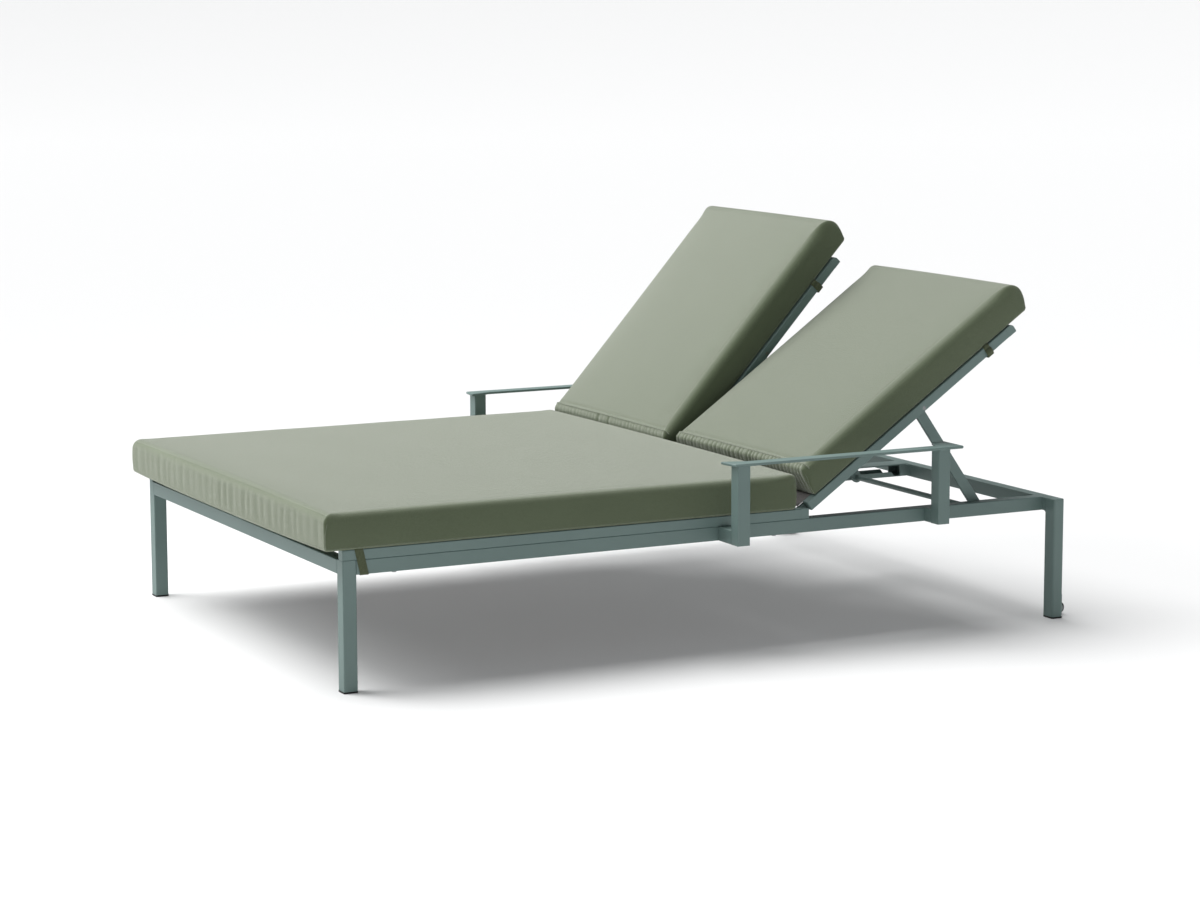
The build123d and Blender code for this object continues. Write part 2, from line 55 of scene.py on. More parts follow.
# Lights and floor
KEY_PLACE, KEY_DIRECTION = (0, 0, 5), (0.16, -0.36, -0.92)
KEY_STRENGTH = 3.8
KEY_SOFTNESS = math.radians(50)
SKY_COLOUR, SKY_STRENGTH = (0.93, 0.97, 1.0, 1.0), 0.18
SOFTBOX_PLACE, SOFTBOX_AIM = (-3.0, 1.2, 3.1), (-0.7, 0.0, 0.4)
SOFTBOX_SIZE, SOFTBOX_POWER = 2.4, 84.0
FLOOR_RADIUS = 26.0
FLOOR_RIM, FLOOR_RIM_STEPS = 40.0, 12
FLOOR_GREY = 0.66
FLOOR_GLOW = 0.12

# Finishes. A cloth is its light and dark shade, its thread pitch and its bump depth in metres.
CANVAS_CLOTH = ((0.112, 0.141, 0.082), (0.090, 0.114, 0.064), 0.0011, 0.00022)
WEBBING_CLOTH = ((0.105, 0.125, 0.070), (0.065, 0.080, 0.042), 0.0016, 0.00035)
SLING_CLOTH = ((0.270, 0.256, 0.250), (0.160, 0.151, 0.148), 0.0014, 0.00045)
WEBBING_SHEEN, SLING_SHEEN = 0.15, 0.05
# The thread share paints shade into the weave: the colour is darker where the threads lie low.
MOTTLE_SHARE, DRIFT_SHARE, THREAD_HOLLOW_SHADE_SHARE = 0.65, 0.25, 0.12
COAT_DARK, COAT_LIGHT = (0.128, 0.190, 0.178), (0.144, 0.211, 0.197)
COAT_SMOOTHEST, COAT_ROUGHER = 0.42, 0.16
PLASTIC_DARK, PLASTIC_LIGHT = (0.007, 0.007, 0.008), (0.014, 0.014, 0.015)
STEEL_DARK, STEEL_LIGHT = (0.20, 0.21, 0.21), (0.28, 0.29, 0.29)
RAMP_START, RAMP_END = 0.3, 0.7

# Cushions. The cover's cells are EDGE_CELL long in the edge zone and FILL_CELLS along X, Y and Z between. It
# swells under pressure, is smoothed in a number of passes, and may move no further than the cap.
EDGE_ZONE = 0.030
EDGE_CELL = 0.005
FILL_CELLS = (0.014, 0.015, 0.010)
FILL_PRESSURE = 4.0
FILL_FRAMES = 20
FILL_CAP = 0.005
SMOOTHING = 8
UNEVENNESS = 0.0008
CUSHION_DRAW_IN = 0.003
SEAM_RADIUS = 0.0006
LOWER_SEAM_HEIGHT = 0.004
SAME_PLACE = 0.0001

# The cover is held as near as this to a sewn edge, and free as far as this from it.
HELD_WITHIN, FREE_PAST = 0.010, 0.045

# The filling's slow waves: how many, the range of their rates in radians a metre, and what their sum is
# divided by
UNEVEN_WAVES, UNEVEN_RATES, UNEVEN_SPREAD = 7, (9, 24), 4

# Where a cushion's shape changes: distances from its top or from one of its ends between which a rounding
# comes in, and the stretch at each end in which lip, toe and thrust do. The last three are shares of its
# height.
TOP_ZONE = (0.055, 0.020)
FOOT_ZONE, HEAD_ZONE = (0.02, 0.08), (0.10, 0.05)
SIDE_OPENS, SIDE_CLOSES = (0.0, 0.05), (0.06, 0.01)
END_ZONE = 0.1
LIP_FROM, TOE_UP_TO, THRUST_UP_TO = 0.82, 0.75, 0.6

# The gathers' random ranges of lean, strength and distance to the next in pitches, and how their strength
# swings across the boxing: mean, swing and rate. Then the stretch behind the end in which the sag fades.
GATHER_LEAN, GATHER_STRENGTH, GATHER_STEP = (-0.2, 0.2), (0.45, 1.0), (0.75, 1.35)
CLUSTER_MEAN, CLUSTER_SWING, CLUSTER_RATE = 0.8, 0.2, 9
SAG_ZONE = (0.004, 0.040)

# The raised seam over a back's lower end: its distance from that end, its radius, the rows of the cover that
# it goes down on each side, and the heights and width of the ridge and of the dip behind it
WELT_PLACE, WELT_RADIUS, WELT_DROP = 0.0225, 0.0015, 6
WELT_RIDGE, WELT_DIP, WELT_DIP_AWAY, WELT_SPREAD = 0.0012, 0.0018, 0.007, 0.004
# The gathers fade out over WELT_CLEAR before that seam. Its ridge and dip lie above WELT_FROM of the height.
WELT_CLEAR, WELT_FROM = 0.005, 0.9

# The cushion cloth's sheen is painted light and shade: it steps down where a face's normal has these Z parts,
# so tops are painted lit and sides shaded. Boxing that faces the low-X end more than this X part is painted
# lighter.
PAINTED_SHEEN_STEPS = (0.97, 0.90, 0.78, 0.60)
PAINTED_LIT_FOOT_FACING = -0.6

# A cushion's shape. Lengths in metres: the rounding of the top edges at its foot, head and sides, of its
# corners and of its low edges, its bulge and crown, the thrust and lift of its head end, the reach of its
# whole low-X end past the CAD solid and of that end's top and bottom edges alone (lip and toe), and its sag.
# The gathers of the low-X end's boxing: pitch, depth, least and most half width as a share of the pitch, the
# shares of the height where they open and close, strength, and single folds by their place across. finer is
# how many cells each cell of the simulated cover becomes.
SEAT_SHAPE = {"finer": (2, 3, 2), "foot": 0.024, "head": 0.014, "side": 0.020, "corner": 0.008, "low": 0.008,
              "bulge": 0.0025, "crown": 0.008, "thrust": 0.0, "lift": 0.0, "reach": 0.008, "lip": 0.0,
              "toe": 0.0, "sag": 0.006, "seed": 11, "pitch": 0.044, "pleat": 0.0028, "line": (0.22, 0.36),
              "open": (0.02, 0.30, 0.66, 0.90), "mild": 1.0, "folds": (), "welt": False}
BACK_SHAPE = {"finer": (2, 6, 2), "foot": 0.022, "head": 0.033, "side": 0.023, "corner": 0.008, "low": 0.008,
              "bulge": 0.0025, "crown": 0.006, "thrust": 0.011, "lift": 0.006, "reach": 0.0, "sag": 0.0,
              "pitch": 0.0185, "pleat": 0.0030, "line": (0.16, 0.26), "open": (0.05, 0.40, 1.5, 2.0),
              "welt": True}
LEFT_BACK_SHAPE = BACK_SHAPE | {"lip": 0.004, "toe": 0.004, "seed": 23, "mild": 1.0, "folds": ()}
RIGHT_BACK_SHAPE = BACK_SHAPE | {"lip": 0.0, "toe": 0.0, "seed": 37, "mild": 0.35, "folds": (0.323, 0.383)}
FOLD_HALF, FOLD_LEAN, FOLD_STRENGTH = 0.0060, 0.3, 0.8

# Frame, straps and slings
EDGE_EASING = 0.0012
JOINED_WITHIN = 0.00002
FLAT_BELOW, SHARP_ABOVE = math.radians(0.5), math.radians(40)
STRAP_THICKNESS = 0.0015
STRAP_GAP = 0.0003
STRAP_BEND = 0.0030
STRAP_TUCK = 0.005
STRAP_INSIDE_DROP = 0.002
SEAT_STRAP_WIDTH = 0.022
SEAT_STRAP_SHIFT = 0.008
BACK_STRAP_WIDTH = 0.018
OUTER_FLAP_BULGE, INNER_FLAP_BULGE = 0.0025, 0.0008
FLAP_INSET, FLAP_WIDER = 0.008, 0.002
FLAP_TUCK, FLAP_CORNER_DROP, FLAP_END_DROP = 0.001, 0.0015, 0.001
SLING_THICKNESS = 0.0012
SLING_SAG = 0.004
BACK_SLING_LONGER = 0.020


# Materials

def add_node(tree, kind, settings=(), inputs=()):
    """A shader node with its settings by name and its inputs by name or number, linked or set."""
    made = tree.nodes.new(kind)
    for name, value in settings:
        setattr(made, name, value)
    for name, value in inputs:
        if isinstance(value, bpy.types.NodeSocket):
            tree.links.new(value, made.inputs[name])
        else:
            made.inputs[name].default_value = value
    return made


def arithmetic(tree, operation, first, second):
    return add_node(tree, "ShaderNodeMath", [("operation", operation)], [(0, first), (1, second)]).outputs[0]


def vector_arithmetic(tree, operation, first, second):
    return add_node(tree, "ShaderNodeVectorMath", [("operation", operation)], [(0, first), (1, second)])


def noise(tree, place, scale, detail):
    inputs = [("Vector", place), ("Scale", scale), ("Detail", detail)]
    return add_node(tree, "ShaderNodeTexNoise", [], inputs).outputs[0]


def ramp(tree, factor, low, high):
    """A colour that goes from low to high as the factor goes over the ramp."""
    made = add_node(tree, "ShaderNodeValToRGB", [], [(0, factor)])
    for element, place, colour in zip(made.color_ramp.elements, (RAMP_START, RAMP_END), (low, high)):
        element.position = place
        element.color = (*colour, 1.0)
    return made.outputs[0]


def new_material(name, roughness):
    material = bpy.data.materials.new(name)
    material.use_nodes = True
    tree = material.node_tree
    shader = tree.nodes["Principled BSDF"]
    shader.inputs["Roughness"].default_value = roughness
    place = add_node(tree, "ShaderNodeTexCoord")
    return material, tree, shader, place


def add_bump(tree, shader, heights):
    """Stacks bumps from (height socket, depth in metres) pairs on a shader."""
    normal = None
    for height, depth in heights:
        inputs = [("Height", height), ("Distance", depth)]
        if normal is not None:
            inputs.append(("Normal", normal))
        normal = add_node(tree, "ShaderNodeBump", [], inputs).outputs[0]
    tree.links.new(normal, shader.inputs["Normal"])


def reordered(tree, parts, order):
    """A vector of three parts, taken in another order."""
    inputs = [(slot, parts[part]) for slot, part in enumerate(order)]
    return add_node(tree, "ShaderNodeCombineXYZ", [], inputs).outputs[0]


def thread_height(tree, place, pitch):
    """Threads that cross over and under on every face, whichever way the face looks."""
    turns = vector_arithmetic(tree, "MULTIPLY", place.outputs["Object"], (math.pi / pitch,) * 3).outputs[0]
    waves = vector_arithmetic(tree, "SINE", turns, (0, 0, 0)).outputs[0]
    parts = add_node(tree, "ShaderNodeSeparateXYZ", [], [(0, waves)]).outputs
    first = reordered(tree, parts, (1, 2, 0))
    second = reordered(tree, parts, (2, 0, 1))
    crossings = vector_arithmetic(tree, "MULTIPLY", first, second).outputs[0]
    facing = vector_arithmetic(tree, "MULTIPLY", place.outputs["Normal"], place.outputs["Normal"]).outputs[0]
    return vector_arithmetic(tree, "DOT_PRODUCT", crossings, facing).outputs["Value"]


def woven_material(name, light, dark, pitch, depth, sheen):
    """Woven cloth: crossing threads, a heathered mottle of two shades, painted shade in the threads' hollows and a
    soft sheen.
    """
    material, tree, shader, place = new_material(name, roughness=0.9)
    threads = thread_height(tree, place, pitch)
    mottle = noise(tree, place.outputs["Object"], scale=0.35 / pitch, detail=4.0)
    drift = noise(tree, place.outputs["Object"], scale=5.0, detail=2.0)
    shade = arithmetic(tree, "MULTIPLY", mottle, MOTTLE_SHARE)
    shade = arithmetic(tree, "ADD", shade, arithmetic(tree, "MULTIPLY", drift, DRIFT_SHARE))
    # painted shade: darker colour where the threads lie low
    shade = arithmetic(tree, "ADD", shade, arithmetic(tree, "MULTIPLY", threads, THREAD_HOLLOW_SHADE_SHARE))
    tree.links.new(ramp(tree, shade, dark, light), shader.inputs["Base Color"])
    add_bump(tree, shader, [(threads, depth), (mottle, depth)])
    shader.inputs["Sheen Weight"].default_value = sheen
    shader.inputs["Sheen Roughness"].default_value = 0.55
    shader.inputs["Sheen Tint"].default_value = (0.98, 1.0, 0.92, 1.0)
    shader.inputs["Specular IOR Level"].default_value = 0.2
    return material


def powder_coat():
    """Matt powder coat with a fine orange-peel surface."""
    material, tree, shader, place = new_material("powder_coat", roughness=0.5)
    peel = noise(tree, place.outputs["Object"], scale=900.0, detail=2.0)
    drift = noise(tree, place.outputs["Object"], scale=4.0, detail=3.0)
    tree.links.new(ramp(tree, drift, COAT_DARK, COAT_LIGHT), shader.inputs["Base Color"])
    spread = arithmetic(tree, "ADD", arithmetic(tree, "MULTIPLY", peel, COAT_ROUGHER), COAT_SMOOTHEST)
    tree.links.new(spread, shader.inputs["Roughness"])
    add_bump(tree, shader, [(peel, 0.00006)])
    return material


def moulded_plastic(name, roughness):
    """Black moulded plastic with a faint spark-eroded texture."""
    material, tree, shader, place = new_material(name, roughness)
    grain = noise(tree, place.outputs["Object"], scale=1400.0, detail=2.0)
    scuff = noise(tree, place.outputs["Object"], scale=60.0, detail=4.0)
    tree.links.new(ramp(tree, scuff, PLASTIC_DARK, PLASTIC_LIGHT), shader.inputs["Base Color"])
    shader.inputs["Specular IOR Level"].default_value = 0.25
    add_bump(tree, shader, [(grain, 0.00005)])
    return material


def fastener_steel():
    """Stainless steel with a fine grain."""
    material, tree, shader, place = new_material("stainless_steel", roughness=0.32)
    marks = noise(tree, place.outputs["Object"], scale=700.0, detail=3.0)
    tree.links.new(ramp(tree, marks, STEEL_DARK, STEEL_LIGHT), shader.inputs["Base Color"])
    shader.inputs["Metallic"].default_value = 1.0
    add_bump(tree, shader, [(marks, 0.00003)])
    return material


def floor_material():
    material, _, shader, _ = new_material("pale_floor", roughness=0.95)
    shader.inputs["Base Color"].default_value = (FLOOR_GREY, FLOOR_GREY, FLOOR_GREY, 1.0)
    shader.inputs["Emission Color"].default_value = (1.0, 1.0, 1.0, 1.0)
    shader.inputs["Emission Strength"].default_value = FLOOR_GLOW
    shader.inputs["Specular IOR Level"].default_value = 0.1
    return material


# One cloth in painted lit and shaded copies: most sheen on the open top, less on faces that turn down (painted
# shade).
CANVAS_PAINTED_SHEENS = {"sage_canvas": 1.0, "sage_canvas_roll": 0.88, "sage_canvas_edge": 0.74,
                 "sage_canvas_turn": 0.48, "sage_canvas_boxing": 0.33}
canvas_painted_light_copies = [woven_material(name, *CANVAS_CLOTH, sheen) for name, sheen in CANVAS_PAINTED_SHEENS.items()]
canvas = canvas_painted_light_copies[0]
webbing = woven_material("olive_webbing", *WEBBING_CLOTH, WEBBING_SHEEN)
sling_cloth = woven_material("taupe_sling", *SLING_CLOTH, SLING_SHEEN)
SLOT_MATERIALS = {
    "frame_coat": powder_coat(),
    "glide_plastic": moulded_plastic("glide_plastic", roughness=0.5),
    "roller_plastic": moulded_plastic("roller_plastic", roughness=0.38),
    "fastener_steel": fastener_steel(),
    "sling_mesh": sling_cloth,
    "cushion_fabric": canvas,
    "strap_webbing": webbing,
}


def ease_edges(piece):
    """Breaks a tube's sharp edges, as its coat does."""
    weld = piece.modifiers.new("joined_faces", "WELD")
    weld.merge_threshold = JOINED_WITHIN
    flat = piece.modifiers.new("whole_faces", "DECIMATE")
    flat.decimate_type = "DISSOLVE"
    flat.angle_limit = FLAT_BELOW
    easing = piece.modifiers.new("eased_edges", "BEVEL")
    easing.width = EDGE_EASING
    easing.segments = 2
    easing.limit_method = "ANGLE"
    easing.angle_limit = SHARP_ABOVE
    easing.harden_normals = True


def dress_frame():
    """Gives every CAD node the finish of its material slot."""
    for subpart in frame["record"]["subparts"]:
        piece = nodes[subpart["node"]]
        for held in piece.material_slots:
            held.material = SLOT_MATERIALS[subpart["material_slot"]]
        if subpart["material_slot"] == "frame_coat":
            ease_edges(piece)


# Places

def back_place(side):
    """A back's own frame: X up along its tubes, Z out of its lying face, Y as in the world."""
    joint = joints[f"{side}_back_hinge"]
    x, _, z = joint["pos_m"]
    tilt = math.radians(joint["range_deg"][0])
    return Matrix.Translation((x, 0, z)) @ Matrix.Rotation(tilt, 4, "Y")


def local_box(node, place):
    """Lowest and highest corners of a CAD node in another frame."""
    inverse = np.array(place.inverted())
    corners = mesh_points(nodes[node].data) @ inverse[:3, :3].T + inverse[:3, 3]
    return corners.min(0), corners.max(0)


def mesh_points(mesh):
    points = np.zeros(len(mesh.vertices) * 3)
    mesh.vertices.foreach_get("co", points)
    return points.reshape(-1, 3)


def new_piece(name, mesh, place, material):
    piece = bpy.data.objects.new(name, mesh)
    bpy.context.scene.collection.objects.link(piece)
    piece.matrix_world = place
    mesh.materials.clear()
    mesh.materials.append(material)
    mesh.polygons.foreach_set("use_smooth", [True] * len(mesh.polygons))
    return piece


def baked(piece):
    """The piece's mesh with its modifiers worked out."""
    graph = bpy.context.evaluated_depsgraph_get()
    mesh = bpy.data.meshes.new_from_object(piece.evaluated_get(graph))
    piece.modifiers.clear()
    old = piece.data
    piece.data = mesh
    bpy.data.meshes.remove(old)
    return mesh


# Cushions

def spaced(length, cell):
    """Places along one side of a cushion: close together near both ends, wider between."""
    edge_cells = round(EDGE_ZONE / EDGE_CELL)
    middle_cells = max(1, round((length - 2 * EDGE_ZONE) / cell))
    return np.concatenate([np.linspace(0, EDGE_ZONE, edge_cells + 1)[:-1],
                           np.linspace(EDGE_ZONE, length - EDGE_ZONE, middle_cells + 1)[:-1],
                           np.linspace(length - EDGE_ZONE, length, edge_cells + 1)])


def box_skin(counts):
    """The skin of a block of cells: each point's index triple, their numbers, and quads that look out."""
    number = np.full([count + 1 for count in counts], -1)
    on_skin = np.ones(number.shape, bool)
    on_skin[1:-1, 1:-1, 1:-1] = False
    triples = np.argwhere(on_skin)
    number[on_skin] = np.arange(len(triples))
    quads = []
    for axis in range(3):
        for end in (0, -1):
            face = np.take(number, end, axis=axis)
            corners = [face[:-1, :-1], face[1:, :-1], face[1:, 1:], face[:-1, 1:]]
            if (end == 0) != (axis == 1):
                corners.reverse()
            quads.append(np.stack(corners, -1).reshape(-1, 4))
    return triples, number, np.concatenate(quads)


def places_on(axes, triples):
    return np.stack([axes[axis][triples[:, axis]] for axis in range(3)], -1)


def finer_axes(axes, finer):
    return [np.interp(np.arange((len(axis) - 1) * times + 1) / times, np.arange(len(axis)), axis)
            for axis, times in zip(axes, finer)]


def carried_over(values, number, triples, finer):
    """Values at the coarse points, shared out to the fine ones between them."""
    base = triples // np.array(finer)
    share = triples / np.array(finer) - base
    total = np.zeros((len(triples), values.shape[1]))
    for corner in np.ndindex(2, 2, 2):
        step = np.array(corner)
        weight = np.prod(np.where(step == 1, share, 1 - share), axis=1)
        place = np.minimum(base + step, np.array(number.shape) - 1)
        found = number[place[:, 0], place[:, 1], place[:, 2]]
        total += np.where((weight > 0)[:, None], weight[:, None] * values[found], 0)
    return total


def rounded_step(value, start, end):
    """0 before start, 1 after end, smooth between."""
    share = np.clip((value - start) / (end - start), 0, 1)
    return share * share * (3 - 2 * share)


def rounded_box(flat, size, shape):
    """Points on a plain box moved onto a box with rounded edges, and which way each one looks."""
    length, _, thickness = size
    top = rounded_step(flat[:, 2], thickness - TOP_ZONE[0], thickness - TOP_ZONE[1])
    foot = 1 - rounded_step(flat[:, 0], *FOOT_ZONE)
    head = rounded_step(flat[:, 0], length - HEAD_ZONE[0], length - HEAD_ZONE[1])
    crest = shape["side"] + (shape["foot"] - shape["side"]) * foot + (shape["head"] - shape["side"]) * head
    end = np.where(flat[:, 0] < length / 2, shape["foot"], shape["head"])
    open_side = rounded_step(flat[:, 0], *SIDE_OPENS)
    open_side *= 1 - rounded_step(flat[:, 0], length - SIDE_CLOSES[0], length - SIDE_CLOSES[1])
    radii = np.stack([shape["corner"] + (end - shape["corner"]) * top,
                      shape["corner"] + (shape["side"] - shape["corner"]) * top * open_side,
                      np.where(flat[:, 2] > thickness / 2, crest, shape["low"])], -1)
    inner = np.clip(flat, radii, np.array(size) - radii)
    spoke = (flat - inner) / radii
    spoke /= np.linalg.norm(spoke, axis=1, keepdims=True)
    return inner + spoke * radii, spoke


def cushion_form(flat, size, shape):
    """Turns points on a plain box into the cushion: rounded, crowned, with sides that bulge and draw in."""
    length, width, thickness = size
    points, _ = rounded_box(flat, size, shape)
    along, across, up = points[:, 0] / length, 2 * points[:, 1] / width - 1, points[:, 2] / thickness
    swell = shape["bulge"] * 4 * up * (1 - up)
    middle = np.sin(along * math.pi)
    points[:, 0] += swell * (2 * along - 1)
    points[:, 1] += (swell - CUSHION_DRAW_IN * middle) * across
    points[:, 2] += shape["crown"] * (1 + 2 * middle) / 3 * (1 - across ** 2) * up
    at_low_end = 1 - rounded_step(flat[:, 0], 0.0, END_ZONE)
    at_high_end = rounded_step(flat[:, 0], length - END_ZONE, length)
    points[:, 0] -= shape["lip"] * rounded_step(up, LIP_FROM, 1.0) * at_low_end
    points[:, 0] -= shape["toe"] * (1 - rounded_step(up, 0.0, TOE_UP_TO)) * at_low_end
    points[:, 0] += shape["thrust"] * rounded_step(up, 0.0, THRUST_UP_TO) * at_high_end
    points[:, 2] += shape["lift"] * up * along
    return points


def held_share(flat, size):
    """1 along the sewn edges of the cover, 0 in the open panels."""
    reach = np.minimum(flat, np.array(size) - flat)
    edge = np.sort(reach, axis=1)[:, 1]
    return 1 - rounded_step(edge, HELD_WITHIN, FREE_PAST)


def smoothed(values, quads):
    """Values at a cover's points, each drawn to the mean of its neighbours, to take out small wrinkles."""
    edges = np.concatenate([quads[:, [corner, (corner + 1) % 4]] for corner in range(4)])
    edges = np.concatenate([edges, edges[:, ::-1]])
    count = np.bincount(edges[:, 0], minlength=len(values))[:, None]
    for _ in range(SMOOTHING):
        total = np.zeros_like(values)
        np.add.at(total, edges[:, 0], values[edges[:, 1]])
        values = (values + total / count) / 2
    return values


def fill_cushion(name, points, quads, held):
    """Swells a cover with air pressure while its sewn edges hold, and returns how far each point moved."""
    mesh = bpy.data.meshes.new(name)
    mesh.from_pydata(points.tolist(), [], quads.tolist())
    cover = new_piece(name, mesh, Matrix.Identity(4), canvas)
    group = cover.vertex_groups.new(name="sewn")
    for index, weight in enumerate(held):
        group.add([index], float(weight), "REPLACE")
    cloth = cover.modifiers.new("cover", "CLOTH")
    cloth.settings.quality = 4
    cloth.settings.mass = 0.3
    cloth.settings.tension_stiffness = 20
    cloth.settings.compression_stiffness = 20
    cloth.settings.shear_stiffness = 12
    cloth.settings.bending_stiffness = 2
    cloth.settings.vertex_group_mass = "sewn"
    cloth.settings.use_pressure = True
    cloth.settings.uniform_pressure_force = FILL_PRESSURE
    cloth.settings.effector_weights.gravity = 0
    cloth.point_cache.frame_start = 1
    cloth.point_cache.frame_end = FILL_FRAMES
    for step in range(1, FILL_FRAMES + 1):
        bpy.context.scene.frame_set(step)
    moved = mesh_points(baked(cover)) - points
    bpy.context.scene.frame_set(1)
    bpy.data.objects.remove(cover)
    moved = smoothed(moved, quads)
    length = np.maximum(np.linalg.norm(moved, axis=1, keepdims=True), 1e-9)
    return moved / length * FILL_CAP * np.tanh(length / FILL_CAP)


def unevenness(flat, seed):
    """A slow rise and fall of the filling under the cover, mostly between -1 and 1."""
    draw = random.Random(seed)
    total = np.zeros(len(flat))
    for _ in range(UNEVEN_WAVES):
        angle = draw.uniform(0, math.pi)
        wave = draw.uniform(*UNEVEN_RATES)
        turn = draw.uniform(0, 2 * math.pi)
        total += np.sin(wave * (flat[:, 0] * math.cos(angle) + flat[:, 1] * math.sin(angle)) + turn)
    return total / UNEVEN_SPREAD


def fold_lines(shape, width):
    """The gathers' places across the boxing with their half widths, leans and strengths."""
    draw = random.Random(shape["seed"])
    place = shape["pitch"]
    while place < width - shape["pitch"]:
        cluster = CLUSTER_MEAN + CLUSTER_SWING * math.sin(CLUSTER_RATE * place / width + shape["seed"])
        half = shape["pitch"] * draw.uniform(*shape["line"])
        lean = draw.uniform(*GATHER_LEAN)
        yield place, half, lean, shape["mild"] * cluster * draw.uniform(*GATHER_STRENGTH)
        place += shape["pitch"] * draw.uniform(*GATHER_STEP)
    for place in shape["folds"]:
        yield place, FOLD_HALF, FOLD_LEAN, FOLD_STRENGTH


def gather_end(points, flat, size, shape):
    """Draws the boxing at the low-X end into soft gathers, lets its lower edge sag, and raises its seam."""
    up = flat[:, 2] / size[2]
    depth = np.zeros(len(flat))
    for place, half, lean, strength in fold_lines(shape, size[1]):
        depth += strength * np.exp(-((flat[:, 1] - place - lean * half * (up - 0.5) * 4) / half) ** 2)
    low_start, low_end, high_start, high_end = shape["open"]
    depth *= rounded_step(up, low_start, low_end) * (1 - rounded_step(up, high_start, high_end))
    depth *= 1 - rounded_step(flat[:, 0], WELT_PLACE - WELT_CLEAR, WELT_PLACE)
    across = 2 * flat[:, 1] / size[1] - 1
    sag = shape["sag"] * (1 - np.abs(across) ** 3) * (1 - rounded_step(flat[:, 0], *SAG_ZONE))
    _, outward = rounded_box(flat, size, shape)
    points -= shape["pleat"] * depth[:, None] * outward
    points[:, 2] -= sag * (1 - up)
    if shape["welt"]:
        on_top = rounded_step(up, WELT_FROM, 1.0)
        past = flat[:, 0] - WELT_PLACE
        points[:, 2] += WELT_RIDGE * on_top * np.exp(-(past / WELT_SPREAD) ** 2)
        points[:, 2] -= WELT_DIP * on_top * np.exp(-((past - WELT_DIP_AWAY) / WELT_SPREAD) ** 2)


def bead(name, path, radius, closed):
    """A round bead along a path of points."""
    sides = 8
    count = len(path)
    vertices, faces = [], []
    for index, point in enumerate(path):
        before = path[index - 1] if closed or index else point
        after = path[(index + 1) % count] if closed or index + 1 < count else point
        along = (after - before).normalized()
        first = along.cross(Vector((0, 0, 1))).normalized()
        second = along.cross(first)
        for side in range(sides):
            angle = 2 * math.pi * side / sides
            vertices.append(point + radius * (math.cos(angle) * first + math.sin(angle) * second))
    for index in range(count if closed else count - 1):
        near, far = index * sides, (index + 1) % count * sides
        for side in range(sides):
            turn = (side + 1) % sides
            faces.append((near + turn, near + side, far + side, far + turn))
    if not closed:
        faces.append(tuple(range(sides)))
        faces.append(tuple(reversed(range((count - 1) * sides, count * sides))))
    mesh = bpy.data.meshes.new(name)
    mesh.from_pydata(vertices, [], faces)
    return mesh


def add_seam(cover, name, points, numbers, radius, closed):
    """A sewn seam along a row of the cover's points, riding with the cover."""
    path = [Vector(points[number]) for number in numbers]
    seam = new_piece(name, bead(name, path, radius, closed), cover.matrix_world, canvas)
    seam.parent = cover
    seam.matrix_parent_inverse = cover.matrix_world.inverted()


def ring_numbers(number, level):
    """The numbers of the points round the cushion at one level."""
    columns, rows = number.shape[0] - 1, number.shape[1] - 1
    ring = [number[column, 0, level] for column in range(columns)]
    ring += [number[columns, row, level] for row in range(rows)]
    ring += [number[column, rows, level] for column in range(columns, 0, -1)]
    return ring + [number[0, row, level] for row in range(rows, 0, -1)]


def sew_seams(cover, points, number, axes, size, shape):
    """A seam round the lower edge and up each corner, and on a back a raised one along its lower end."""
    name = cover.name
    low_level = int(np.searchsorted(axes[2], LOWER_SEAM_HEIGHT))
    add_seam(cover, f"{name}_lower_seam", points, ring_numbers(number, low_level), SEAM_RADIUS, True)
    for column, end in ((0, "foot"), (-1, "head")):
        top_level = int(np.searchsorted(axes[2], size[2] - shape[end]))
        for row, side in ((0, "left"), (-1, "right")):
            numbers = number[column, row, low_level:top_level]
            add_seam(cover, f"{name}_corner_seam_{end}_{side}", points, numbers, SEAM_RADIUS, False)
    if shape["welt"]:
        column = int(np.searchsorted(axes[0], WELT_PLACE - SAME_PLACE))
        numbers = [*number[column, 0, -WELT_DROP:-1], *number[column, :, -1],
                   *number[column, -1, -WELT_DROP:-1][::-1]]
        add_seam(cover, f"{name}_welt", points, numbers, WELT_RADIUS, False)


def paint_sheen_by_facing(cover):
    """Paints light and shade into one cloth: copies with less sheen go on faces that look less upward.

    Boxing that faces the low-X end gets the copy before the last, so it is painted lighter than the other sides.
    """
    mesh = cover.data
    for finish in canvas_painted_light_copies[1:]:
        mesh.materials.append(finish)
    normals = np.zeros(len(mesh.polygons) * 3)
    mesh.polygons.foreach_get("normal", normals)
    normals = normals.reshape(-1, 3)
    # painted shade: faces that look less upward get copies of the cloth with less sheen; foot-facing boxing is
    # painted lighter
    zones = np.searchsorted(-np.array(PAINTED_SHEEN_STEPS), -normals[:, 2])
    zones[(normals[:, 0] < PAINTED_LIT_FOOT_FACING) & (zones == len(PAINTED_SHEEN_STEPS))] -= 1
    mesh.polygons.foreach_set("material_index", zones.astype(np.int32))


